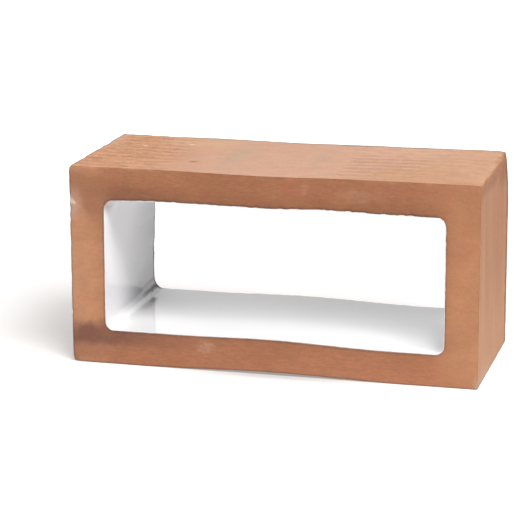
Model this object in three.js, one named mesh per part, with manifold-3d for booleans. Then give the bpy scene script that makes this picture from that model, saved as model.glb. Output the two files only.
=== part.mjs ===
// A hollow clay screen brick: a thick-walled rectangular tube of terracotta, pushed out of a die,
// cut to depth with a wire and fired in one piece. Millimetres, +Z up. X runs along the brick and
// Y the way the hollow goes through it. The origin is on the ground under the brick's middle.
import * as THREE from "three";
import { toCreasedNormals } from "three/addons/utils/BufferGeometryUtils.js";
import Module from "manifold-3d";

// Outer size
const length = 290;
const depth = 120;
const height = 142;

// Walls round the hollow
const endWall = 24.5;
const topWall = 23.5;
const bottomWall = 25;

// Corners and edges
const outerCornerRadius = 2; // the four long edges, rounded by the die
const hollowCornerRadius = 6.5; // the hollow's four corners, rounded by the die's core
const cutEdgeRadius = 1; // round the outside of each cut face
const mouthEdgeRadius = 0.8; // round the hollow where it opens at each cut face

// Drag ripples, left across the top and bottom faces by the die in a band near each end
const ripplePitch = 11.4;
const rippleDepth = 0.75;
const rippleLead = 6; // how far a ripple's middle runs ahead of its ends, as clay leaves the die
const rippleBow = 1.6; // power of that curve: 2 is a parabola, 1 a plain V
const leftBandSpan = 82; // starts at the left end's corner
const leftBandFade = 30; // the stretch over which its ripples sink into the smooth clay
const rightBandMargin = 14; // smooth clay between the right end's corner and its band
const rightBandSpan = 92;
const rightBandRise = 10; // the stretch over which its ripples start, towards the middle
const rightBandFade = 56; // and over which they end, towards the right end

// Fineness of the facets
const pointsPerRipple = 5;
const longestBandStep = 10;
const outerCornerSteps = 3;
const hollowCornerSteps = 8;
const edgeSteps = 3;

const cutterOverrun = 2;

const outside = new THREE.Box2(
  new THREE.Vector2(-length / 2, 0),
  new THREE.Vector2(length / 2, height),
);
const hollow = new THREE.Box2(
  new THREE.Vector2(-length / 2 + endWall, bottomWall),
  new THREE.Vector2(length / 2 - endWall, height - topWall),
);

const flatHalfLength = length / 2 - outerCornerRadius;
const leftBand = {
  from: -flatHalfLength,
  to: -flatHalfLength + leftBandSpan,
  rise: 0,
  fade: leftBandFade,
};
const rightBand = {
  from: flatHalfLength - rightBandMargin - rightBandSpan,
  to: flatHalfLength - rightBandMargin,
  rise: rightBandRise,
  fade: rightBandFade,
};

// 1 where a band's ripples are at their full depth, and 0 outside the band
function bandStrength(band, x) {
  const risen = band.rise > 0 ? THREE.MathUtils.smoothstep(x, band.from, band.from + band.rise) : 1;
  const faded = THREE.MathUtils.smoothstep(x, band.to - band.fade, band.to);
  return risen * (1 - faded);
}

// How far the face lies below its crests at a place on it
function rippleAt(x, y) {
  const strength = Math.max(bandStrength(leftBand, x), bandStrength(rightBand, x));
  const lead = rippleLead * (1 - Math.abs(x / (length / 2)) ** rippleBow);
  const wave = (1 - Math.cos((2 * Math.PI * (y + lead)) / ripplePitch)) / 2;
  return rippleDepth * strength * wave;
}

// Places along the brick where its rippled faces bend
function bandStops(band) {
  const steps = Math.ceil((band.to - band.from) / longestBandStep);
  return Array.from({ length: steps + 1 }, (_, step) =>
    THREE.MathUtils.lerp(band.from, band.to, step / steps),
  );
}

function corner(centreX, centreZ, radius, startAngle, steps) {
  return Array.from({ length: steps + 1 }, (_, step) => {
    const angle = startAngle + (Math.PI / 2) * (step / steps);
    return [centreX + radius * Math.cos(angle), centreZ + radius * Math.sin(angle)];
  });
}

// Outline of an upright rectangle with round corners, anticlockwise as seen from the front.
// Its level sides have a point at each stop.
function roundedRectangle(box, radius, cornerSteps, stops) {
  const left = box.min.x + radius;
  const right = box.max.x - radius;
  const low = box.min.y + radius;
  const high = box.max.y - radius;
  return [
    ...corner(right, low, radius, -Math.PI / 2, cornerSteps),
    ...corner(right, high, radius, 0, cornerSteps),
    ...stops.map((x) => [x, box.max.y]).reverse(),
    ...corner(left, high, radius, Math.PI / 2, cornerSteps),
    ...corner(left, low, radius, Math.PI, cornerSteps),
    ...stops.map((x) => [x, box.min.y]),
  ];
}

// Stations from the front cut face to the back one, with a round edge at both. setBack is how
// far the clay stands back there from its full section.
function stationsThroughDepth(edgeRadius, levelSteps) {
  const frontEdge = [];
  const backEdge = [];
  for (let step = 0; step <= edgeSteps; step += 1) {
    const angle = (Math.PI / 2) * (step / edgeSteps);
    const fromFace = edgeRadius * (1 - Math.cos(angle));
    const setBack = edgeRadius * (1 - Math.sin(angle));
    frontEdge.push({ y: fromFace - depth / 2, setBack });
    backEdge.unshift({ y: depth / 2 - fromFace, setBack });
  }
  const levelHalf = depth / 2 - edgeRadius;
  const level = [];
  for (let step = 1; step < levelSteps; step += 1) {
    level.push({ y: THREE.MathUtils.lerp(-levelHalf, levelHalf, step / levelSteps), setBack: 0 });
  }
  return [...frontEdge, ...level, ...backEdge];
}

// A closed solid through a row of rings that all have the same number of points. Each end is
// closed by a fan from the middle of its ring.
function loft(rings) {
  const ringSize = rings[0].length;
  const lastRing = ringSize * (rings.length - 1);
  const triangles = [];
  for (let index = 0; index < ringSize; index += 1) {
    const next = (index + 1) % ringSize;
    for (let near = 0; near < lastRing; near += ringSize) {
      const far = near + ringSize;
      triangles.push(near + index, far + next, near + next);
      triangles.push(near + index, far + index, far + next);
    }
    const frontMiddle = lastRing + ringSize;
    const backMiddle = frontMiddle + 1;
    triangles.push(frontMiddle, index, next);
    triangles.push(backMiddle, lastRing + next, lastRing + index);
  }
  const middleOf = (ring) => new THREE.Box3().setFromPoints(ring).getCenter(new THREE.Vector3());
  const points = [...rings.flat(), middleOf(rings[0]), middleOf(rings.at(-1))];
  return new wasm.Manifold(
    new wasm.Mesh({
      numProp: 3,
      vertProperties: Float32Array.from(points.flatMap((point) => point.toArray())),
      triVerts: Uint32Array.from(triangles),
    }),
  );
}

// The clay before its hollow is taken out, rippled on its top and bottom faces
function makeBlock() {
  const edgeRadius = Math.min(cutEdgeRadius, outerCornerRadius);
  const levelSteps = Math.ceil((depth * pointsPerRipple) / ripplePitch);
  const stops = [...bandStops(leftBand), ...bandStops(rightBand)]
    .filter((x) => Math.abs(x) < flatHalfLength)
    .sort((a, b) => a - b);
  const rings = stationsThroughDepth(edgeRadius, levelSteps).map(({ y, setBack }) => {
    const section = outside.clone().expandByScalar(-setBack);
    const radius = outerCornerRadius - setBack;
    return roundedRectangle(section, radius, outerCornerSteps, stops).map(([x, z]) => {
      const inward = z > height / 2 ? -1 : 1;
      return new THREE.Vector3(x, y, z + inward * rippleAt(x, y));
    });
  });
  return loft(rings);
}

// What the hollow takes out of the block: straight through, and flared where it opens
function makeBore() {
  const stations = stationsThroughDepth(mouthEdgeRadius, 1);
  stations.unshift({ y: -depth / 2 - cutterOverrun, setBack: mouthEdgeRadius });
  stations.push({ y: depth / 2 + cutterOverrun, setBack: mouthEdgeRadius });
  const rings = stations.map(({ y, setBack }) => {
    const section = hollow.clone().expandByScalar(setBack);
    const radius = hollowCornerRadius + setBack;
    const outline = roundedRectangle(section, radius, hollowCornerSteps, []);
    return outline.map(([x, z]) => new THREE.Vector3(x, y, z));
  });
  return loft(rings);
}

function toGeometry(solid) {
  const { vertProperties, triVerts } = solid.getMesh();
  const geometry = new THREE.BufferGeometry();
  geometry.setAttribute("position", new THREE.BufferAttribute(vertProperties, 3));
  geometry.setIndex(new THREE.BufferAttribute(triVerts, 1));
  return toCreasedNormals(geometry, THREE.MathUtils.degToRad(30));
}

const wasm = await Module();
wasm.setup();

const terracotta = new THREE.MeshStandardMaterial({ color: 0xc48c66, roughness: 0.92, metalness: 0 });
const brick = new THREE.Mesh(toGeometry(makeBlock().subtract(makeBore())), terracotta);
brick.name = "hollow_brick";

const screenBrick = new THREE.Group();
screenBrick.add(brick);

export default screenBrick;
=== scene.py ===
import math

import bmesh
import bpy
from mathutils import Matrix, Vector, noise


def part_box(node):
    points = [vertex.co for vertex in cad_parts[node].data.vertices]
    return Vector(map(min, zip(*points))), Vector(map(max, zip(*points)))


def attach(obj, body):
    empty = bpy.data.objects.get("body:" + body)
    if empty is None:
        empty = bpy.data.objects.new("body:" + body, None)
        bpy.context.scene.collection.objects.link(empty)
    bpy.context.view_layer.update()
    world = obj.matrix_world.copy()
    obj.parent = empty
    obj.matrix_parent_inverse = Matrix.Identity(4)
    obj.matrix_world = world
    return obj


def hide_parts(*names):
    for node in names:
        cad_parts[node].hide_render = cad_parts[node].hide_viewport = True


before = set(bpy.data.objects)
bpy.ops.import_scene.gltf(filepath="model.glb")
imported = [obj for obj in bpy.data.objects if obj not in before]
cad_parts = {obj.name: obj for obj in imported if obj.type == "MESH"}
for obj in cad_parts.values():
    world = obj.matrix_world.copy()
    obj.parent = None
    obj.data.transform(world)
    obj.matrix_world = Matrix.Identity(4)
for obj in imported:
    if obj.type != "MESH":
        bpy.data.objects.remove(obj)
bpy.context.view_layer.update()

mm = 0.001
touching = 0.01 * mm  # places closer together than this are one place
low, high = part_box("hollow_brick")
middle = (low + high) / 2

bpy.context.scene.view_settings.view_transform = "Standard"

brickForm = {
    "endWall": 24.5 * mm,
    "topWall": 23.5 * mm,
    "bottomWall": 25 * mm,
    "hollowCorner": 6.5 * mm,
    "hollowCornerSteps": 8,
    "dieCorner": 2 * mm,
    "dieCornerSteps": 4,
    "cutEdge": 0.4 * mm,
    "mouthEdge": 0.8 * mm,
    "cutSteps": 3,  # round each of these two edges
    "grid": 1.5 * mm,  # fineness of the clay's outside
    "sagGrid": 6 * mm,  # fineness along the hollow's walls, enough for their sag
    "bowCuts": 23,  # fineness of the hollow's left wall, enough for its bow
    "smoothBelow": 50,  # degrees
}

hollowLow = Vector((low.x + brickForm["endWall"], low.y, low.z + brickForm["bottomWall"]))
hollowHigh = Vector((high.x - brickForm["endWall"], high.y, high.z - brickForm["topWall"]))


def pick(kind, test):
    bpy.ops.mesh.select_mode(type=kind)
    bpy.ops.mesh.select_all(action="DESELECT")
    mesh = bmesh.from_edit_mesh(bpy.context.object.data)
    mesh.normal_update()
    for item in {"VERT": mesh.verts, "EDGE": mesh.edges, "FACE": mesh.faces}[kind]:
        if not item.hide and test(item):
            item.select_set(True)
    mesh.select_flush_mode()
    bmesh.update_edit_mesh(bpy.context.object.data)


def bevelPicked(offset, steps):
    bpy.ops.mesh.bevel(offset=offset, segments=steps, affect="EDGES")


def sliceEvenly(axis, start, end, step):
    across = Vector((0, 0, 0))
    across[axis] = 1
    count = round((end - start) / step)
    for index in range(1, count):
        bpy.ops.mesh.select_all(action="SELECT")
        bpy.ops.mesh.bisect(plane_co=across * (start + (end - start) * index / count),
                            plane_no=across, threshold=touching)


def insideHollow(point, slack=0.1 * mm):
    return (hollowLow.x - slack < point.x < hollowHigh.x + slack
            and hollowLow.z - slack < point.z < hollowHigh.z + slack)


def fromHollow(point):
    # how far outside the hollow's rounded section a place lies
    corner = brickForm["hollowCorner"]
    centre = (hollowLow + hollowHigh) / 2
    half = (hollowHigh - hollowLow) / 2
    awayX = abs(point.x - centre.x) - half.x + corner
    awayZ = abs(point.z - centre.z) - half.z + corner
    return math.hypot(max(awayX, 0), max(awayZ, 0)) + min(max(awayX, awayZ), 0) - corner


def runsThrough(edge):
    return abs(edge.verts[0].co.y - edge.verts[1].co.y) > (high.y - low.y) / 2


def isCutFace(face):
    return abs(face.normal.y) > 0.9  # within 25 degrees of facing front or back


def isRim(edge):
    atCut = all(abs(abs(vert.co.y) - high.y) < touching for vert in edge.verts)
    return atCut and [isCutFace(face) for face in edge.link_faces].count(True) == 1


def isHollowWall(point, normal):
    # short of the rounded mouth
    return insideHollow(point) and abs(normal.y) < 0.3


def blockOutTube(name):
    bpy.ops.object.select_all(action="DESELECT")
    bpy.ops.mesh.primitive_cube_add(size=1, location=middle, scale=high - low)
    piece = bpy.context.object
    piece.name = name
    bpy.ops.object.transform_apply(location=True, rotation=True, scale=True)
    bpy.ops.object.mode_set(mode="EDIT")

    # run the hollow through between the two cut faces, with all four walls alike at first
    pick("FACE", isCutFace)
    bpy.ops.mesh.inset(thickness=brickForm["endWall"])
    bpy.ops.mesh.delete(type="FACE")
    pick("EDGE", lambda edge: edge.is_boundary)
    bpy.ops.mesh.bridge_edge_loops()
    slack = brickForm["endWall"] / 2
    pick("VERT", lambda vert: insideHollow(vert.co, slack) and vert.co.z > middle.z)
    bpy.ops.transform.translate(value=(0, 0, brickForm["endWall"] - brickForm["topWall"]))
    pick("VERT", lambda vert: insideHollow(vert.co, slack) and vert.co.z < middle.z)
    bpy.ops.transform.translate(value=(0, 0, brickForm["bottomWall"] - brickForm["endWall"]))

    # round what the die and its core rounded, then the cut edges
    pick("EDGE", lambda edge: runsThrough(edge) and insideHollow(edge.verts[0].co))
    bevelPicked(brickForm["hollowCorner"], brickForm["hollowCornerSteps"])
    pick("EDGE", lambda edge: runsThrough(edge) and not insideHollow(edge.verts[0].co))
    bevelPicked(brickForm["dieCorner"], brickForm["dieCornerSteps"])
    pick("EDGE", lambda edge: isRim(edge) and not insideHollow(edge.verts[0].co))
    bevelPicked(brickForm["cutEdge"], brickForm["cutSteps"])
    pick("EDGE", lambda edge: isRim(edge) and insideHollow(edge.verts[0].co))
    bevelPicked(brickForm["mouthEdge"], brickForm["cutSteps"])

    sliceEvenly(0, low.x, high.x, brickForm["sagGrid"])
    return piece


# how the walls sagged and bulged as they dried: places along the brick, and millimetres up
# (for the hollow's left wall at the back: places up it, and millimetres to the right)
sag = {
    "top": ((-145, 0), (-95, 0), (-5, -1), (60, 0), (145, 0)),
    "ceiling": ((-121, -0.6), (-80, 0.5), (-5, -0.3), (40, 0.7), (85, -0.1), (121, -0.4)),
    "floor": ((-121, -0.4), (-70, -0.4), (-5, 0.5), (85, -2), (121, -2)),
    "underside": ((-145, 0), (-95, 0), (0, 1.8), (95, 0), (145, 0)),
    "leftWall": ((25, 0), (36, -1.6), (59, -1.6), (66, -0.75), (79, -0.75), (87, 0)),
}

# how the die's core, which left the hollow, stood in the clay
core = {
    "drift": 0.5 * mm,  # a little to the right
    "slant": 0.9 * mm,  # and its left side leaning in towards the top
}

# how the top corner at the back of the right end leans in
lean = {
    "depth": 2.2 * mm,
    "reach": 40 * mm,  # down and forward from the corner
    "width": 20 * mm,
}


def ease(value, start, end):
    share = min(max((value - start) / (end - start), 0), 1)
    return share * share * (3 - 2 * share)


def fade(value, start, end):
    return 1 - ease(value, start, end)


def sagAlong(line, x):
    lift = line[0][1]
    for (startX, startLift), (endX, endLift) in zip(line, line[1:]):
        lift += (endLift - startLift) * ease(x, startX * mm, endX * mm)
    return lift * mm


def settle(point):
    levels = ((low.z, "underside"), (hollowLow.z, "floor"),
              (hollowHigh.z, "ceiling"), (high.z, "top"))
    lift = 0
    for (below, belowLine), (above, aboveLine) in zip(levels, levels[1:]):
        if below <= point.z <= above:
            share = (point.z - below) / (above - below)
            lift = (sagAlong(sag[belowLine], point.x) * (1 - share)
                    + sagAlong(sag[aboveLine], point.x) * share)
    inward = (lean["depth"] * ease(point.x, high.x - lean["width"], high.x)
              * ease(point.y, high.y - lean["reach"], high.y) ** 2
              * max(1 - (high.z - point.z) / lean["reach"], 0) ** 2)
    drift = core["drift"] * fade(abs(point.x), hollowHigh.x, high.x)
    nearLeft = ease(point.x, low.x, hollowLow.x) * fade(point.x, hollowLow.x, 0)
    slant = core["slant"] * nearLeft * (point.z - middle.z) / (high.z - low.z)
    bow = sagAlong(sag["leftWall"], point.z) * nearLeft * ease(point.y, 0, high.y)
    return Vector((drift + slant + bow - inward, 0, lift))


def keepInBox(mesh):
    for vert in mesh.vertices:
        vert.co = [min(max(value, least), most)
                   for value, least, most in zip(vert.co, low, high)]


ripples = {
    "pitch": 11.4 * mm,
    "leftDepth": 0.85 * mm,
    "rightDepth": 0.95 * mm,
    "lead": 6 * mm,  # how far the middle of a ripple runs ahead of its ends
    "bow": 1.6,  # the power of that curve
    "stray": 0.5 * mm,  # how far a ripple strays from it
    "straySize": 40 * mm,
    "leftEnd": -60.5 * mm,  # where the left band has sunk into the smooth clay
    "leftFade": 30 * mm,
    "rightStart": 36 * mm,
    "rightRise": 10 * mm,
    "rightEnd": 128.5 * mm,
    "rightFade": 52 * mm,
    "backStart": 18 * mm,  # how much sooner the right band starts at the back
    "backShift": (25 * mm, 50 * mm),  # where that begins and ends on the way to the back
    "unevenness": 0.8,
    "unevenLength": 22 * mm,  # how long and how wide the deeper and shallower places are
    "unevenWidth": 7 * mm,
    "frontShare": 0.65,  # how deep they are at the front, against the back
    "fullFrom": -20 * mm,  # and where they have come to their full depth
    "endFade": 5 * mm,
    "cutFade": 5 * mm,
    "atCut": 0.4,  # what is left of a ripple at the cut faces
    "bedFade": (6 * mm, 1 * mm),  # how far from a bed's level they begin and come to the full
    "seed": 3,
}


def rippleDrop(point):
    start = ripples["rightStart"] - ripples["backStart"] * ease(point.y, *ripples["backShift"])
    leftBand = fade(point.x, ripples["leftEnd"] - ripples["leftFade"], ripples["leftEnd"])
    rightBand = (ease(point.x, start, start + ripples["rightRise"])
                 * fade(point.x, ripples["rightEnd"] - ripples["rightFade"], ripples["rightEnd"]))
    depth = max(ripples["leftDepth"] * leftBand, ripples["rightDepth"] * rightBand)
    lead = ripples["lead"] * (1 - abs(point.x / high.x) ** ripples["bow"])
    stray = noise.noise(point / ripples["straySize"]) * ripples["stray"]
    wave = (1 - math.cos(2 * math.pi * (point.y + lead + stray) / ripples["pitch"])) / 2
    place = Vector((point.x / ripples["unevenLength"], point.y / ripples["unevenWidth"],
                    ripples["seed"]))
    uneven = 1 + ripples["unevenness"] * noise.noise(place)
    toEnd = ease(high.x - abs(point.x), 0, ripples["endFade"])
    toCut = 1 - (1 - ripples["atCut"]) * ease(abs(point.y), high.y - ripples["cutFade"], high.y)
    toFront = 1 - (1 - ripples["frontShare"]) * fade(point.y, low.y, ripples["fullFrom"])
    bedTop = high.z - middle.z
    starts, full = ripples["bedFade"]
    nearBed = ease(abs(point.z - middle.z), bedTop - starts, bedTop - full)
    return depth * wave * uneven * toEnd * toCut * toFront * nearBed


tornClay = (-110, -60)  # where the torn left third of the two beds turns smooth, in millimetres

wear = {
    "lump": 0.25 * mm,
    "lumpSize": 36 * mm,
    "smallLumps": 0.3,  # the share of it in lumps a third as large
    "grain": 0.07 * mm,
    "grainSize": 3.2 * mm,
    "pits": 0.35 * mm,  # in the torn clay
    "pitSize": 5 * mm,
    "pitCover": 0.1,  # more of this, and the pits spread and deepen
    "edge": 0.15 * mm,
    "edgeReach": 2.5 * mm,
    "nickSize": 11 * mm,
    "nickNoise": (0.8, 2.1, 3),  # how its layers weaken, how much finer each is, how many
    "nickCover": 0.2,
    "endEdge": 1.1 * mm,  # along the top of the right end
    "endEdgeReach": 6 * mm,
    "endCrumbs": (-0.2, 1.4),  # the least and the most of that
    "endCrumbSize": 6 * mm,
    "mouth": 0.5 * mm,
    "mouthChips": 1.1 * mm,  # more of it where the wire tore the clay
    "mouthReach": 3 * mm,  # out from the mouth's edge
    "mouthDepth": 4 * mm,  # and in from the cut face
    "crumbSize": 4 * mm,
    "crumbCover": 0.15,
    "chipsFrom": (-45 * mm, -25 * mm),  # where the torn stretch over the front mouth starts
    "chipsTo": (95 * mm, 110 * mm),  # and where it ends
}

# knocks along the left edges and the mouth, and one in the top: x, y, z, how wide and how deep,
# in millimetres
knocks = (
    (-145, -60, 119, 4, 0.4), (-145, -60, 111.5, 3.5, 0.4), (-145, -60, 104, 3, 0.3),
    (-145, -60, 88, 6, 0.25), (-145, -60, 37, 2.5, 0.35), (-145, -60, 62, 7, 0.2),
    (-120.5, -60, 88, 2.5, 0.5), (-120.5, -60, 47, 3, 0.4), (-139, -60, 116, 3, 0.3),
    (-134, -60, 112, 2.5, 0.3), (-64.3, -27.8, 142, 2.6, 0.9), (-145, -60, 0, 6, 1),
    (-120.5, -60, 100, 2.5, 0.4), (-120.5, -60, 67, 2, 0.4), (-120.5, -60, 35, 2.5, 0.4),
    (-145, -60, 142, 4, 0.5), (-145, -31, 142, 7, 0.35), (-145, 3, 142, 5, 0.3),
    (-145, 24, 142, 9, 0.4),
)

# darker lines along the edges, and how strong each is: painted shade where a rounded edge turns from
# the light and a painted contact shadow along the feet, with some dirt on the cut faces' outer edges
paintedRimShades = {
    "solid": 0.4,  # the share of a line's width that doesn't fade
    "cutDepth": 0.1 * mm,  # how far in from a cut face the lines are its own
    "width": 1.7 * mm,  # on the cut faces
    "mouth": 1,
    "mouthRight": 0.5,
    "rightFrom": 1 * mm,  # how far left of the hollow's right wall it turns to that
    "outer": 0.35,
    "foot": 0.9,
    "left": 1,
    "leftWidth": 3.4 * mm,  # on the beds, while the left end is as dark as the line all over
    "back": 0.9,
    "backWidth": 4.8 * mm,  # on the beds and the ends
    "endFoot": 0.7,
    "endFootWidth": 3.5 * mm,  # on the right end
    "endFootFrom": 3 * mm,  # how far left of that end it starts
}


def edgeNearness(point):
    gaps = sorted(min(point[axis] - low[axis], high[axis] - point[axis]) for axis in range(3))
    return fade(gaps[1], 0, wear["edgeReach"])


def nearRim(gap, width):
    return fade(gap, paintedRimShades["solid"] * width, width)


# painted shade along the edges, and a painted contact shadow along the feet
def rimShade(point):
    fromLeft = point.x - low.x
    aboveFoot = point.z - low.z
    if abs(point.y) < high.y - paintedRimShades["cutDepth"]:
        onEnd = point.x > high.x - paintedRimShades["endFootFrom"]
        return max(paintedRimShades["back"] * nearRim(high.y - point.y, paintedRimShades["backWidth"]),
                   paintedRimShades["left"] * nearRim(fromLeft, paintedRimShades["leftWidth"]),
                   paintedRimShades["endFoot"] * nearRim(aboveFoot, paintedRimShades["endFootWidth"]) * onEnd)
    outside = min(high.x - point.x, high.z - point.z)
    mouth = paintedRimShades["mouthRight"] if point.x > hollowHigh.x - paintedRimShades["rightFrom"] else paintedRimShades["mouth"]
    return max(mouth * nearRim(fromHollow(point), paintedRimShades["width"]),
               paintedRimShades["outer"] * nearRim(outside, paintedRimShades["width"]),
               paintedRimShades["foot"] * nearRim(aboveFoot, paintedRimShades["width"]),
               paintedRimShades["left"] * nearRim(fromLeft, paintedRimShades["width"]))


def swell(point, size, seed=(0, 0, 0)):
    # a random height from 0 to 1, in swellings of this size
    return 0.5 + 0.5 * noise.noise(point / size + Vector(seed))


def dips(point, size, cover, seed=(0, 0, 0)):
    # a random depth in dips of this size, and 0 between them
    return max(noise.noise(point / size + Vector(seed)) + cover, 0)


def mouthWear(point):
    near = (fade(abs(fromHollow(point)), 0, wear["mouthReach"])
            * ease(abs(point.y), high.y - wear["mouthDepth"], high.y))
    if near == 0:
        return 0
    torn = 1 if point.y > 0 else (ease(point.z, middle.z, hollowHigh.z)
                                  * ease(point.x, *wear["chipsFrom"])
                                  * fade(point.x, *wear["chipsTo"]))
    depth = wear["mouth"] + (wear["mouthChips"] - wear["mouth"]) * torn
    return near * depth * dips(point, wear["crumbSize"], wear["crumbCover"], seed=(0, 9, 0))


def knockDepth(point):
    depth = 0
    for x, y, z, width, deep in knocks:
        distance = (point - Vector((x, y, z)) * mm).length / (width * mm)
        if distance < 1:
            depth += deep * mm * (1 - distance * distance) ** 2
    return depth


def wearInward(point, normal):
    lumps = (swell(point, wear["lumpSize"]) * (1 - wear["smallLumps"])
             + swell(point, wear["lumpSize"] / 3, seed=(3, 5, 1)) * wear["smallLumps"])
    depth = wear["lump"] * lumps + wear["grain"] * swell(point, wear["grainSize"])
    pits = dips(point, wear["pitSize"], wear["pitCover"]) * abs(normal.z)
    depth += wear["pits"] * pits * fade(point.x / mm, *tornClay)
    nicks = noise.fractal(point / wear["nickSize"], *wear["nickNoise"]) + wear["nickCover"]
    depth += wear["edge"] * edgeNearness(point) * max(nicks, 0)
    fromEndEdge = math.hypot(high.x - point.x, high.z - point.z)
    least, most = wear["endCrumbs"]
    crumbs = least + (most - least) * swell(point, wear["endCrumbSize"], seed=(4, 0, 7))
    depth += wear["endEdge"] * fade(fromEndEdge, 0, wear["endEdgeReach"]) * crumbs
    return depth + mouthWear(point) + knockDepth(point)


def shapeClay(mesh):
    normals = [vert.normal.copy() for vert in mesh.vertices]
    grooves = []
    shades = []
    for vert, normal in zip(mesh.vertices, normals):
        point = vert.co.copy()
        moved = point + settle(point)
        if not isHollowWall(point, normal):
            moved -= normal * wearInward(point, normal)
        drop = rippleDrop(point)
        moved.z -= math.copysign(drop, point.z - middle.z)
        grooves.append(drop / ripples["rightDepth"])
        shades.append(rimShade(point))
        vert.co = moved
    keepInBox(mesh)
    mesh.attributes.new("groove", "FLOAT", "POINT").data.foreach_set("value", grooves)
    mesh.attributes.new("paintedRimShade", "FLOAT", "POINT").data.foreach_set("value", shades)


def isLeftWall(face):
    # the flat of the hollow's left wall, which faces straight to the right
    return face.normal.x > 0.999 and insideHollow(face.calc_center_median())


def makeClayBody():
    body = blockOutTube("clay_body")
    pick("FACE", isLeftWall)
    bpy.ops.mesh.subdivide(number_cuts=brickForm["bowCuts"])

    # the grid leaves out the walls of the hollow, which the glaze covers
    pick("FACE", lambda face: isHollowWall(face.calc_center_median(), face.normal))
    bpy.ops.mesh.hide()
    for axis in (1, 2, 0):
        sliceEvenly(axis, low[axis], high[axis], brickForm["grid"])
    bpy.ops.mesh.reveal()
    bpy.ops.object.mode_set(mode="OBJECT")
    shapeClay(body.data)
    bpy.ops.object.shade_smooth_by_angle(angle=math.radians(brickForm["smoothBelow"]))
    return body


glazeCoat = {
    "thickness": 0.6 * mm,
    "sunk": 0.2 * mm,  # how much of it is soaked into the clay
    "grid": 2 * mm,
    "raggedSize": 7 * mm,
    "raggedNoise": (0.9, 2.0, 3),  # how its layers weaken, how much finer each is, how many
    "frontRim": 0.7 * mm,  # how unevenly it ends at the front mouth
    "frontReach": 3 * mm,
    "backRim": 1.5 * mm,  # and at the back one
    "backReach": (10 * mm, 2 * mm),  # how far from the back that begins and comes to the full
    "smoothBelow": 60,  # degrees
}


def isGlazed(face):
    # the hollow's walls, and at the front most of the rounded mouth too
    spot = face.calc_center_median()
    return (insideHollow(spot, brickForm["mouthEdge"]) and abs(face.normal.y) < 0.8
            and spot.y < high.y - brickForm["mouthEdge"])


def makeGlazeLining():
    lining = blockOutTube("glaze_lining")
    pick("FACE", lambda face: not isGlazed(face))
    bpy.ops.mesh.delete(type="FACE")
    for axis in (1, 2, 0):
        sliceEvenly(axis, low[axis], high[axis], glazeCoat["grid"])
    bpy.ops.object.mode_set(mode="OBJECT")

    starts, full = glazeCoat["backReach"]
    for vert in lining.data.vertices:
        point = vert.co.copy()
        uneven = noise.fractal(point / glazeCoat["raggedSize"], *glazeCoat["raggedNoise"])
        ragged = 0.5 + 0.5 * uneven
        backward = glazeCoat["backRim"] * ragged * ease(point.y, high.y - starts, high.y - full)
        forward = (glazeCoat["frontRim"] * ragged
                   * fade(point.y, low.y, low.y + glazeCoat["frontReach"]))
        vert.co = point + settle(point) + Vector((0, forward - backward, 0))
    bpy.ops.object.shade_smooth_by_angle(angle=math.radians(glazeCoat["smoothBelow"]))
    coat = lining.modifiers.new("coat", "SOLIDIFY")
    coat.thickness = glazeCoat["thickness"]
    coat.offset = 1 - 2 * glazeCoat["sunk"] / glazeCoat["thickness"]
    bpy.ops.object.modifier_apply(modifier=coat.name)
    keepInBox(lining.data)
    return lining


def feed(tree, socket, value):
    if isinstance(value, bpy.types.NodeSocket):
        tree.links.new(value, socket)
    elif socket.type == "RGBA":
        socket.default_value = (*value, 1)
    else:
        socket.default_value = value


def addNode(tree, kind, inputs, **settings):
    node = tree.nodes.new("ShaderNode" + kind)
    for key, setting in settings.items():
        setattr(node, key, setting)
    for key, value in inputs.items():
        feed(tree, node.inputs[key], value)
    return node


def startMaterial(name):
    material = bpy.data.materials.new(name)
    material.use_nodes = True
    tree = material.node_tree
    return material, tree, tree.nodes["Principled BSDF"]


def sums(tree, operation, first, second=0.0):
    return addNode(tree, "Math", {0: first, 1: second}, operation=operation).outputs[0]


noiseRange = (0.3, 0.7)  # nearly all that a noise texture gives lies between these


def ramp(tree, value, start, end, startsAt=0.0, endsAt=1.0):
    node = addNode(tree, "MapRange", {"Value": value, "From Min": start, "From Max": end,
                                      "To Min": startsAt, "To Max": endsAt},
                   interpolation_type="SMOOTHSTEP")
    return node.outputs["Result"]


def mixColours(tree, share, first, second, kind="MIX"):
    # a Mix node holds its sockets for every type of data: 0 is the share, 6 and 7 the colours
    node = addNode(tree, "Mix", {0: share, 6: first, 7: second},
                   data_type="RGBA", blend_type=kind)
    return node.outputs[2]


def tint(tree, colour, shade, share=1.0):
    return mixColours(tree, share, colour, shade, "MULTIPLY")


def unevenTone(tree, pattern, amount, spread=0.2):
    # darker and lighter by this amount, the further the pattern is from its middle
    return ramp(tree, pattern, 0.5 - spread, 0.5 + spread, 1 - amount, 1 + amount)


def readAttribute(tree, name):
    return addNode(tree, "Attribute", {}, attribute_name=name).outputs["Fac"]


def whereInMillimetres(tree):
    objectPlace = addNode(tree, "TexCoord", {}).outputs["Object"]
    return addNode(tree, "VectorMath", {0: objectPlace, "Scale": 1 / mm},
                   operation="SCALE").outputs[0]


def mottle(tree, where, size, detail=3.0, roughness=0.5, stretch=(1, 1, 1), shift=0):
    placed = addNode(tree, "Mapping", {"Vector": where, "Location": (shift, shift, shift),
                                       "Scale": stretch}).outputs[0]
    texture = addNode(tree, "TexNoise", {"Vector": placed, "Scale": 1 / size,
                                         "Detail": detail, "Roughness": roughness})
    return texture.outputs["Fac"]


def fray(tree, where, size):
    # places moved about at random, which frays the edges of what is drawn with them
    wobble = addNode(tree, "TexNoise", {"Vector": where, "Scale": 1 / size, "Detail": 3.0})
    wobble = addNode(tree, "VectorMath", {0: wobble.outputs["Color"], 1: (0.5, 0.5, 0.5)},
                     operation="SUBTRACT").outputs[0]
    return addNode(tree, "VectorMath", {0: wobble, 1: (size, size, size), 2: where},
                   operation="MULTIPLY_ADD").outputs[0]


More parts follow.
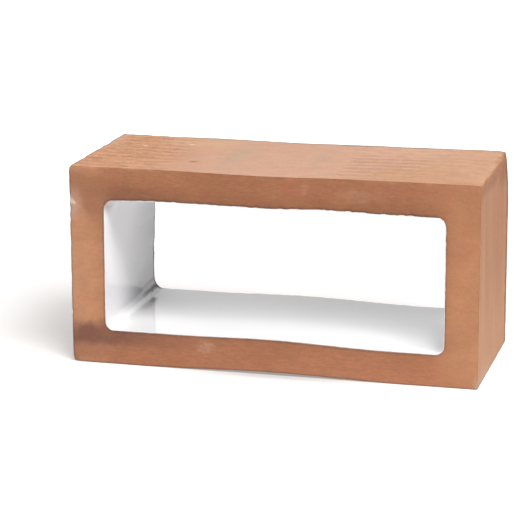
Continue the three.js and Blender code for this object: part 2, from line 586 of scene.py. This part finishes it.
def patch(tree, where, mark):
    away = addNode(tree, "VectorMath", {0: where, 1: mark["at"]}, operation="SUBTRACT").outputs[0]
    share = addNode(tree, "VectorMath", {0: away, 1: mark["reach"]}, operation="DIVIDE").outputs[0]
    size = addNode(tree, "VectorMath", {0: share}, operation="LENGTH").outputs["Value"]
    # out to its core, a share of its reach, a mark has its full amount
    amount = ramp(tree, size, 1.0, mark.get("core", 0.2), 0.0, mark["amount"])
    if "specks" in mark:  # what the noise leaves above its middle are specks of this size
        specks = mottle(tree, where, mark["specks"], detail=2, roughness=0.6)
        amount = sums(tree, "MULTIPLY", amount, ramp(tree, specks, 0.44, 0.58))
    return amount


clayFinish = {
    "pierLeft": (0.613, 0.291, 0.158),  # cut faces, beside the hollow
    "pierRightLow": (0.575, 0.264, 0.138),
    "pierRightHigh": (0.52, 0.228, 0.116),
    "beamLow": (0.505, 0.21, 0.112),  # cut faces, below and above it
    "beamHigh": (0.418, 0.174, 0.089),
    "besideHollow": 0.88,  # how dark the beams get at the hollow's edge
    "paintedRimShade": (0.56, 0.69, 0.84),  # the darker lines along the edges: painted shade
    "bedLeft": (0.545, 0.28, 0.16),
    "bed": (0.543, 0.318, 0.218),
    "bedRight": (0.52, 0.295, 0.185),
    "endLow": (0.675, 0.362, 0.219),
    "endHigh": (0.56, 0.285, 0.168),
    "endTop": (0.4, 0.195, 0.11),
    "endTopAmount": 0.8,
    "grooves": 0.83,  # how dark the bottom of a ripple is: painted shade in the grooves
    "grooveFade": (0.1, 0.9),  # the shares of the full depth where that begins and ends
    # how much each pattern darkens and lightens the clay
    "blotches": 0.05,
    "streaks": 0.045,
    "hueShift": 0.025,
    "grain": 0.045,
    "wireLines": 0.06,  # fine lines along the beams, left by the wire
    "linesOnPiers": 0.3,  # the share of them on the piers
    "tears": 0.15,  # streaks in the torn clay
    "specks": 0.09,  # and specks
    "tearsRight": 0.4,  # the share of both on the right band of ripples
    "roughness": (0.95, 0.82),  # in the low and the high places of the grain
    "shine": 0.25,
    "relief": 0.12 * mm,
    "reliefStrength": 0.5,
    "fray": 7,  # how raggedly the marks end, in millimetres
}

# where one colour runs into the next: places up the brick or along it, in millimetres
clayBands = {
    "pierUp": (10, 132),
    "pierAcross": (-100, 100),
    "beamUp": (24, 120),
    "hollowMiddle": 72,  # how high the hollow's middle lies
    "besideHollow": (48, 60),  # above and below that middle
    "pierStart": (118, 142),  # either side of the brick's middle
    "pierWander": 18,  # how far the clouds push a border about
    "linesFade": (110, 140),
    "bedLeft": (-95, -20),
    "bedRight": (60, 140),
    "bedWander": 40,
    "tearsRight": (15, 60),
    "endUp": (10, 110),
    "endTop": (138, 149),
    "endTopWander": 22,
}

# patterns in the clay: size in millimetres, how finely it breaks up, its scale along x, y and z
# (less than 1 draws it out), and a shift that keeps it apart from the others
clayPatterns = {
    "clouds": {"size": 28, "roughness": 0.55},
    "blotches": {"size": 15, "detail": 4, "roughness": 0.6, "stretch": (0.6, 1, 1), "shift": 55},
    "streaks": {"size": 8, "roughness": 0.55, "stretch": (0.5, 1, 1.2), "shift": 40},
    "upStreaks": {"size": 20, "detail": 2, "stretch": (1, 1, 0.3), "shift": 70},
    "warmth": {"size": 9, "roughness": 0.6, "shift": 83},
    "grain": {"size": 1.7, "detail": 4, "roughness": 0.75, "shift": 11},
    "wireLines": {"size": 1.2, "detail": 2, "stretch": (0.2, 1, 1), "shift": 17},
    "tears": {"size": 2.6, "roughness": 0.6, "stretch": (0.35, 1, 1), "shift": 23},
    "specks": {"size": 1.3, "detail": 2, "roughness": 0.6, "stretch": (0.8, 1, 1), "shift": 31},
}

# fire marks, dust and scuffs: middle and reach in millimetres
clayMarks = {
    "fireFoot": {"at": (-138, -60, 9), "reach": (46, 14, 12), "colour": (0.43, 0.188, 0.108),
                 "amount": 0.8},
    "fireTail": {"at": (-98, -60, 19), "reach": (62, 14, 10), "colour": (0.34, 0.149, 0.09),
                 "amount": 0.75},
    "fireBand": {"at": (-143, -60, 21.5), "reach": (62, 30, 11.8), "colour": (0.249, 0.109, 0.078),
                 "amount": 0.92, "core": 0.35},
    "smokeCorner": {"at": (-138, -60, 129), "reach": (30, 14, 13), "core": 0.35,
                    "colour": (0.425, 0.186, 0.105), "amount": 0.85},
    "smokeEdge": {"at": (-126, -60, 117), "reach": (17, 10, 24),
                  "colour": (0.405, 0.178, 0.1), "amount": 0.85},
    "smokeUnder": {"at": (-98, -60, 123), "reach": (38, 10, 9),
                   "colour": (0.328, 0.14, 0.08), "amount": 0.8},
    "dustHigh": {"at": (-145, -60, 115), "reach": (13, 7, 15), "colour": (0.58, 0.36, 0.27),
                 "amount": 0.8},
    "paleEdge": {"at": (-146, -60, 57), "reach": (12, 5, 50), "colour": (0.66, 0.34, 0.2),
                 "amount": 0.8},
    "chip": {"at": (-143, -60, 117), "reach": (3.2, 4, 4.4), "colour": (0.9, 0.68, 0.54),
             "amount": 0.85},
    "chipBelow": {"at": (-143, -60, 109), "reach": (5, 4, 6), "colour": (0.64, 0.4, 0.3),
                  "amount": 0.7},
    "fireMouth": {"at": (-118, -60, 26), "reach": (13, 5, 10), "colour": (0.33, 0.142, 0.086),
                  "amount": 0.85},
    "paleTop": {"at": (-96, -60, 139), "reach": (50, 4, 12), "colour": (0.495, 0.214, 0.114),
                "amount": 0.65},
    "warmFoot": {"at": (30, -60, 0), "reach": (130, 5, 10), "colour": (0.57, 0.25, 0.137),
                 "amount": 0.6},
    "duskCorner": {"at": (136, -60, 138), "reach": (36, 12, 24), "colour": (0.43, 0.19, 0.098),
                   "amount": 0.5},
    "limePatch": {"at": (-46.5, -60, 17), "reach": (9, 4, 5.5), "colour": (0.64, 0.38, 0.25),
                  "amount": 0.6, "core": 0.5, "specks": 2.4},
    "limeVeil": {"at": (-46.5, -60, 17), "reach": (10, 4, 7), "colour": (0.53, 0.27, 0.165),
                 "amount": 0.6, "core": 0.3},
    "paleArc": {"at": (24, -60, 133), "reach": (2.6, 4, 6), "colour": (0.5, 0.245, 0.15),
                "amount": 0.55},
    "redBlotch": {"at": (14, -60, 132), "reach": (11, 4, 8), "colour": (0.42, 0.155, 0.09),
                  "amount": 0.75},
    "redStain": {"at": (36, -60, 130), "reach": (14, 4, 7), "colour": (0.4, 0.152, 0.082),
                 "amount": 0.5},
    "paleScuff": {"at": (62, -60, 130), "reach": (22, 4, 7), "colour": (0.46, 0.224, 0.13),
                  "amount": 0.65},
    "redScuff": {"at": (82, -60, 136), "reach": (18, 4, 7), "colour": (0.43, 0.17, 0.1),
                 "amount": 0.6},
    "endDust": {"at": (145, -40, 0), "reach": (6, 60, 16), "colour": (0.7, 0.45, 0.33),
                "amount": 0.6},
    "endFront": {"at": (145, -46, 60), "reach": (6, 12, 90), "colour": (0.74, 0.41, 0.26),
                 "amount": 0.45},
    "endScorch": {"at": (145, 36, 136), "reach": (6, 34, 20), "colour": (0.4, 0.18, 0.088),
                  "amount": 0.9, "core": 0.4},
    "endWarm": {"at": (145, 24, 90), "reach": (6, 28, 70), "colour": (0.54, 0.26, 0.152),
                "amount": 0.7},
    "endBack": {"at": (145, 61, 70), "reach": (6, 13, 130), "colour": (0.4, 0.165, 0.085),
                "amount": 0.9, "core": 0.5},
    "endCorner": {"at": (145, 60, 130), "reach": (6, 11, 26), "colour": (0.2, 0.07, 0.03),
                  "amount": 0.9},
    "warmBed": {"at": (92, -40, 143), "reach": (66, 42, 4), "colour": (0.49, 0.262, 0.152),
                "amount": 0.85},
    "paleBack": {"at": (-76, 42, 142), "reach": (44, 34, 5), "colour": (0.585, 0.355, 0.23),
                 "amount": 0.75},
    "paleRear": {"at": (70, 42, 142), "reach": (96, 34, 5), "colour": (0.57, 0.338, 0.232),
                 "amount": 0.8},
    "paleEnd": {"at": (-146, 38, 142), "reach": (15, 52, 5), "colour": (0.57, 0.35, 0.25),
                "amount": 0.75},
    "paleFront": {"at": (-100, -59, 145), "reach": (62, 14, 5), "colour": (0.6, 0.34, 0.205),
                  "amount": 0.9},
    "whiteSpeck": {"at": (-114.4, 19.3, 142), "reach": (2.4, 1.6, 3), "colour": (0.72, 0.5, 0.34),
                   "amount": 0.95, "core": 0.5},
    "whiteSpeckFar": {"at": (-81.7, 30.9, 142), "reach": (2, 1.8, 3),
                      "colour": (0.76, 0.56, 0.4), "amount": 0.95, "core": 0.5},
    "darkPit": {"at": (-64.3, -26, 142), "reach": (5, 2.6, 3), "colour": (0.27, 0.135, 0.08),
                "amount": 0.85, "core": 0.4},
    "ringMark": {"at": (-88.7, 25.4, 142), "reach": (3.6, 6, 3), "colour": (0.4, 0.2, 0.11),
                 "amount": 0.7, "core": 0.4, "specks": 1.8},
    "scratch": {"at": (-91, 14, 142), "reach": (6, 2.6, 3), "colour": (0.36, 0.18, 0.1),
                "amount": 0.75, "core": 0.4},
    "scratchNear": {"at": (-93, 3, 142), "reach": (7, 2.2, 3), "colour": (0.4, 0.2, 0.115),
                    "amount": 0.7, "core": 0.4},
    "greyBloom": {"at": (-38, 0, 142), "reach": (14, 60, 4), "colour": (0.46, 0.31, 0.22),
                  "amount": 0.75},
    "greyBloomRight": {"at": (21, 4, 142), "reach": (10, 56, 4), "colour": (0.48, 0.31, 0.22),
                       "amount": 0.5},
}


def clayPattern(tree, clay, name):
    return mottle(tree, clay["where"], **clayPatterns[name])


def wander(tree, clay, place, reach):
    return sums(tree, "ADD", place, sums(tree, "MULTIPLY", clay["clouds"], reach))


def clayPlaces(tree):
    # what the colours go by: where a place is, which face it is on, and the clouds in the clay
    where = whereInMillimetres(tree)
    normal = addNode(tree, "TexCoord", {}).outputs["Normal"]
    facing = addNode(tree, "SeparateXYZ", {"Vector": normal}).outputs
    spot = addNode(tree, "SeparateXYZ", {"Vector": where}).outputs
    upward = sums(tree, "ABSOLUTE", facing["Z"])
    endward = sums(tree, "ABSOLUTE", facing["X"])
    clay = {"where": where, "along": spot["X"], "up": spot["Z"], "upward": upward}
    # how much of a face's normal makes it a cut face or an end, and the edges blend in between
    clay["isCut"] = ramp(tree, sums(tree, "ABSOLUTE", facing["Y"]), 0.5, 0.85)
    clay["isEnd"] = ramp(tree, sums(tree, "SUBTRACT", endward, upward), -0.3, 0.3)
    clay["clouds"] = clayPattern(tree, clay, "clouds")
    clay["grain"] = clayPattern(tree, clay, "grain")
    clay["fromMiddle"] = wander(tree, clay, sums(tree, "ABSOLUTE", spot["X"]),
                                clayBands["pierWander"])
    return clay


def colourCutFaces(tree, clay):
    # paler piers at both ends, darker beams, darkest beside the hollow
    pierRight = mixColours(tree, ramp(tree, clay["up"], *clayBands["pierUp"]),
                           clayFinish["pierRightLow"], clayFinish["pierRightHigh"])
    pier = mixColours(tree, ramp(tree, clay["along"], *clayBands["pierAcross"]),
                      clayFinish["pierLeft"], pierRight)
    beam = mixColours(tree, ramp(tree, clay["up"], *clayBands["beamUp"]),
                      clayFinish["beamLow"], clayFinish["beamHigh"])
    fromHollowMiddle = sums(tree, "ABSOLUTE",
                            sums(tree, "SUBTRACT", clay["up"], clayBands["hollowMiddle"]))
    beam = tint(tree, beam, ramp(tree, fromHollowMiddle, *clayBands["besideHollow"],
                                 clayFinish["besideHollow"], 1.0))
    cut = mixColours(tree, ramp(tree, clay["fromMiddle"], *clayBands["pierStart"]), beam, pier)
    blotches = clayPattern(tree, clay, "blotches")
    return tint(tree, cut, unevenTone(tree, blotches, clayFinish["blotches"], spread=0.15))


def colourBeds(tree, clay):
    # redder at the left, greyer and paler from there on, warmer again at the right
    along = wander(tree, clay, clay["along"], clayBands["bedWander"])
    bed = mixColours(tree, ramp(tree, along, *clayBands["bedLeft"]),
                     clayFinish["bedLeft"], clayFinish["bed"])
    bed = mixColours(tree, ramp(tree, along, *clayBands["bedRight"]), bed, clayFinish["bedRight"])
    # painted shade in the grooves of the ripples
    groove = readAttribute(tree, "groove")
    return tint(tree, bed, ramp(tree, groove, *clayFinish["grooveFade"],
                                1.0, clayFinish["grooves"]))


def colourEnds(tree, clay):
    # darker towards the top, and darkest along it
    end = mixColours(tree, ramp(tree, clay["up"], *clayBands["endUp"]),
                     clayFinish["endLow"], clayFinish["endHigh"])
    up = wander(tree, clay, clay["up"], clayBands["endTopWander"])
    return mixColours(tree, ramp(tree, up, *clayBands["endTop"], 0.0, clayFinish["endTopAmount"]),
                      end, clayFinish["endTop"])


def addClayTones(tree, clay, colour):
    # streaks run along the cut faces and beds, and up and down the ends
    streaks = addNode(tree, "Mix", {0: clay["isEnd"], 2: clayPattern(tree, clay, "streaks"),
                                    3: clayPattern(tree, clay, "upStreaks")}).outputs[0]
    colour = tint(tree, colour, unevenTone(tree, streaks, clayFinish["streaks"], spread=0.25))
    warmth = ramp(tree, clayPattern(tree, clay, "warmth"), 0.35, 0.65)
    less = 1 - clayFinish["hueShift"]
    colour = tint(tree, colour, mixColours(tree, warmth, (1, less, 1), (less, 1, less)))
    return tint(tree, colour, unevenTone(tree, clay["grain"], clayFinish["grain"]))


def addWireLines(tree, clay, colour):
    lines = unevenTone(tree, clayPattern(tree, clay, "wireLines"), clayFinish["wireLines"])
    onBeam = ramp(tree, clay["fromMiddle"], *clayBands["linesFade"], 1.0, clayFinish["linesOnPiers"])
    return tint(tree, colour, lines, sums(tree, "MULTIPLY", clay["isCut"], onBeam))


def addTornClay(tree, clay, colour):
    tears = unevenTone(tree, clayPattern(tree, clay, "tears"), clayFinish["tears"], spread=0.18)
    specks = unevenTone(tree, clayPattern(tree, clay, "specks"), clayFinish["specks"], spread=0.15)
    left = ramp(tree, clay["along"], *tornClay, 1.0, 0.0)
    right = ramp(tree, clay["along"], *clayBands["tearsRight"], 0.0, clayFinish["tearsRight"])
    share = sums(tree, "MULTIPLY", clay["upward"], sums(tree, "MAXIMUM", left, right))
    return tint(tree, colour, sums(tree, "MULTIPLY", tears, specks), share)


def makeClayMaterial():
    material, tree, shader = startMaterial("fired_terracotta")
    clay = clayPlaces(tree)
    bedOrEnd = mixColours(tree, clay["isEnd"], colourBeds(tree, clay), colourEnds(tree, clay))
    colour = mixColours(tree, clay["isCut"], bedOrEnd, colourCutFaces(tree, clay))
    frayed = fray(tree, clay["where"], clayFinish["fray"])
    for mark in clayMarks.values():
        colour = mixColours(tree, patch(tree, frayed, mark), colour, mark["colour"])
    colour = addClayTones(tree, clay, colour)
    colour = addWireLines(tree, clay, colour)
    colour = addTornClay(tree, clay, colour)
    # the painted shade along the edges
    colour = tint(tree, colour, clayFinish["paintedRimShade"], readAttribute(tree, "paintedRimShade"))
    feed(tree, shader.inputs["Base Color"], colour)

    feed(tree, shader.inputs["Roughness"],
         ramp(tree, clay["grain"], *noiseRange, *clayFinish["roughness"]))
    shader.inputs["Specular IOR Level"].default_value = clayFinish["shine"]
    bump = addNode(tree, "Bump", {"Height": clay["grain"], "Strength": clayFinish["reliefStrength"],
                                  "Distance": clayFinish["relief"]})
    feed(tree, shader.inputs["Normal"], bump.outputs["Normal"])
    return material


glazeFinish = {
    "floorColour": (0.9, 0.89, 0.895),  # painted light: the floor paler than the walls
    "wallColour": (0.86, 0.85, 0.86),
    "floorFade": (25, 31),  # the height over which one becomes the other, in millimetres
    "fray": 3,  # how raggedly the marks end, in millimetres
    "refraction": 1.6,
    "shine": 0.5,
    "haze": 0.02,  # the most roughness where the glaze is clean
    "hazeSize": 6,
    "dullFrom": 0.6,  # how dull a place is where it starts to turn rough
    "dullRoughness": 0.8,
    "waviness": 0.008 * mm,
    "waveSize": 16,
}

# painted light, shade and reflections in the glaze, some dull: middle and reach in millimetres
glazeMarks = {
    # painted shade at the front of the floor, where the light falls strongest
    "floorFront": {"at": (0, -64, 25), "reach": (170, 50, 6), "colour": (0.82, 0.81, 0.815),
                   "amount": 1, "core": 0.5},
    # painted light on the floor beside the right wall, which shades it
    "floorRight": {"at": (116, 6, 25), "reach": (34, 64, 8), "colour": (0.97, 0.96, 0.965),
                   "amount": 1, "core": 0.4},
    # painted light on the hollow's right wall, which lightens its reflection in the floor too
    "wallRight": {"at": (121, 0, 60), "reach": (8, 90, 80), "colour": (0.96, 0.965, 0.98),
                  "amount": 1, "core": 0.5},
    "wallShade": {"at": (-121, 84, 46), "reach": (8, 119, 95), "colour": (0.434, 0.446, 0.48),
                  "amount": 1, "core": 0.33},
    # painted shade under the ceiling at the front of the left wall, warm like light bounced off the
    # clay
    "wallTop": {"at": (-119, -54, 118), "reach": (10, 22, 14), "colour": (0.45, 0.34, 0.3),
                "amount": 0.9},
    "cornerShade": {"at": (-121, 64, 35), "reach": (8, 76, 22), "colour": (0.34, 0.337, 0.35),
                    "amount": 0.85},
    # painted dark reflection on the floor beside the left wall, which also takes the shine away
    "floorCorner": {"at": (-111.5, 24, 25), "reach": (3.4, 10, 5), "colour": (0.38, 0.375, 0.38),
                    "amount": 0.7, "core": 0.4, "dull": True},
    "floorTail": {"at": (-110.5, 11, 25), "reach": (5, 20, 5), "colour": (0.45, 0.445, 0.45),
                  "amount": 0.45, "dull": True},
    # painted reflections: a bright line along the fillet, and two dark lines on the wall just above
    # it
    "filletLine": {"at": (-116.4, 14, 25.5), "reach": (2.8, 80, 2.4), "core": 0.4,
                   "colour": (0.98, 0.97, 0.98), "amount": 1},
    "lineHigh": {"at": (-121, 46, 33), "reach": (6, 36, 2.2), "colour": (0.2, 0.2, 0.21),
                 "amount": 0.6, "dull": True},
    "lineLow": {"at": (-119.4, 52, 27.8), "reach": (2.6, 44, 2), "colour": (0.15, 0.15, 0.155),
                "amount": 0.8, "dull": True},
    # painted shade along the glaze's back edge, where its rounded end turns from the light and bare
    # clay shows, and in the wall's lower back corner and along the floor's back edge
    "paintedShadeBackEdge": {"at": (-121, 60, 54), "reach": (6, 5.5, 90), "colour": (0.1, 0.092, 0.088),
                 "amount": 0.95, "core": 0.4, "dull": True},
    "paintedShadeBackCorner": {"at": (-118, 61, 27), "reach": (9, 8, 8), "colour": (0.1, 0.092, 0.088),
                   "amount": 0.9, "core": 0.4, "dull": True},
    "backLine": {"at": (0, 61.5, 25), "reach": (150, 5, 3), "colour": (0.4, 0.385, 0.37),
                 "amount": 0.9, "core": 0.3},
}


def makeGlazeMaterial():
    material, tree, shader = startMaterial("white_tin_glaze")
    where = whereInMillimetres(tree)
    up = addNode(tree, "SeparateXYZ", {"Vector": where}).outputs["Z"]
    # the floor painted paler than the walls: painted light
    colour = mixColours(tree, ramp(tree, up, *glazeFinish["floorFade"]),
                        glazeFinish["floorColour"], glazeFinish["wallColour"])
    dullness = 0.0
    frayed = fray(tree, where, glazeFinish["fray"])
    for mark in glazeMarks.values():
        amount = patch(tree, frayed, mark)
        colour = mixColours(tree, amount, colour, mark["colour"])
        if "dull" in mark:  # painted shade, painted dark reflections and bare clay take the shine away
            dullness = sums(tree, "MAXIMUM", dullness, amount)
    feed(tree, shader.inputs["Base Color"], colour)
    feed(tree, shader.inputs["Specular IOR Level"],
         ramp(tree, dullness, 0, 1, glazeFinish["shine"], 0.0))
    haze = ramp(tree, mottle(tree, where, glazeFinish["hazeSize"], detail=2),
                *noiseRange, 0.0, glazeFinish["haze"])
    dull = ramp(tree, dullness, glazeFinish["dullFrom"], 1.0, 0.0, glazeFinish["dullRoughness"])
    feed(tree, shader.inputs["Roughness"], sums(tree, "MAXIMUM", haze, dull))
    shader.inputs["IOR"].default_value = glazeFinish["refraction"]
    waves = mottle(tree, where, glazeFinish["waveSize"], detail=2)
    bump = addNode(tree, "Bump", {"Height": waves, "Strength": 1.0,
                                  "Distance": glazeFinish["waviness"]})
    feed(tree, shader.inputs["Normal"], bump.outputs["Normal"])
    return material


studio = {
    "floorSize": 4,  # metres
    "floorColour": (0.66, 0.66, 0.66),
    "floorRoughness": 0.9,
    "nearTint": (0.433, 0.414, 0.402),  # the floor's glow close to the brick, warm: painted light standing in for light bounced off the clay
    "nearFade": (300, 800),  # how far from the brick's middle that fades to white, in millimetres
    # a painted contact shadow on the floor, under the bowed bed
    "contactShade": {"at": (4, -62, 0), "reach": (112, 13, 10), "amount": 0.36, "core": 0},
    "skyLight": 0.06,  # how much light comes from all round, where all looks white
}

white = (1, 1, 1)
black = (0, 0, 0)

# degrees round from the front towards the right, degrees up, and metres
lamps = {
    "key": {"azimuth": 41, "elevation": 54, "distance": 2.2, "size": 1.15, "watts": 62},
    "back": {"azimuth": -140, "elevation": 40, "distance": 2.4, "size": 1.4, "watts": 16},
}

shot = {
    "place": Vector((379.6, -1515.0, 459.4)) * mm,
    "lookAt": Vector((-20.6, 0, 63.75)) * mm,
    "roll": math.radians(-0.263),
    "lens": 154.3,
}


def seenRays(tree):
    path = addNode(tree, "LightPath", {})
    seen = sums(tree, "MAXIMUM", path.outputs["Is Camera Ray"], path.outputs["Is Glossy Ray"])
    return sums(tree, "MAXIMUM", seen, path.outputs["Is Transmission Ray"])


def makeBackdrop():
    world = bpy.data.worlds.new("studio")
    bpy.context.scene.world = world
    world.use_nodes = True
    tree = world.node_tree
    backdrop = tree.nodes["Background"]
    feed(tree, backdrop.inputs["Color"], white)
    feed(tree, backdrop.inputs["Strength"],
         ramp(tree, seenRays(tree), 0, 1, studio["skyLight"], 1.0))

    bpy.ops.mesh.primitive_plane_add(size=studio["floorSize"])
    floor = bpy.context.object
    floor.name = "floor"
    material, tree, shader = startMaterial("pale_floor")
    where = whereInMillimetres(tree)
    shade = patch(tree, where, studio["contactShade"])  # a painted contact shadow under the bowed bed
    feed(tree, shader.inputs["Base Color"], mixColours(tree, shade, studio["floorColour"], black))
    shader.inputs["Roughness"].default_value = studio["floorRoughness"]
    shader.inputs["Specular IOR Level"].default_value = 0.0
    away = addNode(tree, "VectorMath", {0: where}, operation="LENGTH").outputs["Value"]
    # the floor's glow, warm near the brick with painted bounce light
    glow = mixColours(tree, ramp(tree, away, *studio["nearFade"]), studio["nearTint"], white)
    feed(tree, shader.inputs["Emission Color"], mixColours(tree, shade, glow, black))
    feed(tree, shader.inputs["Emission Strength"], seenRays(tree))
    floor.data.materials.append(material)


def hangLamps():
    for name, lamp in lamps.items():
        azimuth = math.radians(lamp["azimuth"])
        elevation = math.radians(lamp["elevation"])
        away = Vector((math.sin(azimuth) * math.cos(elevation),
                       -math.cos(azimuth) * math.cos(elevation), math.sin(elevation)))
        bpy.ops.object.light_add(type="AREA", location=middle + away * lamp["distance"],
                                 rotation=away.to_track_quat("Z", "Y").to_euler())
        light = bpy.context.object
        light.name = name
        light.data.size = lamp["size"]
        light.data.energy = lamp["watts"]


def setUpCamera():
    away = shot["place"] - shot["lookAt"]
    turn = away.to_track_quat("Z", "Y").to_matrix() @ Matrix.Rotation(shot["roll"], 3, "Z")
    bpy.ops.object.camera_add(location=shot["place"], rotation=turn.to_euler())
    camera = bpy.context.object
    camera.data.lens = shot["lens"]
    bpy.context.scene.camera = camera


print("shaping the clay body")
clayBody = makeClayBody()
clayBody.data.materials.append(makeClayMaterial())
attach(clayBody, "root")
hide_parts("hollow_brick")

print("coating the hollow with glaze")
glazeLining = makeGlazeLining()
glazeLining.data.materials.append(makeGlazeMaterial())
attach(glazeLining, "root")

print("setting up the studio")
makeBackdrop()
hangLamps()
setUpCamera()
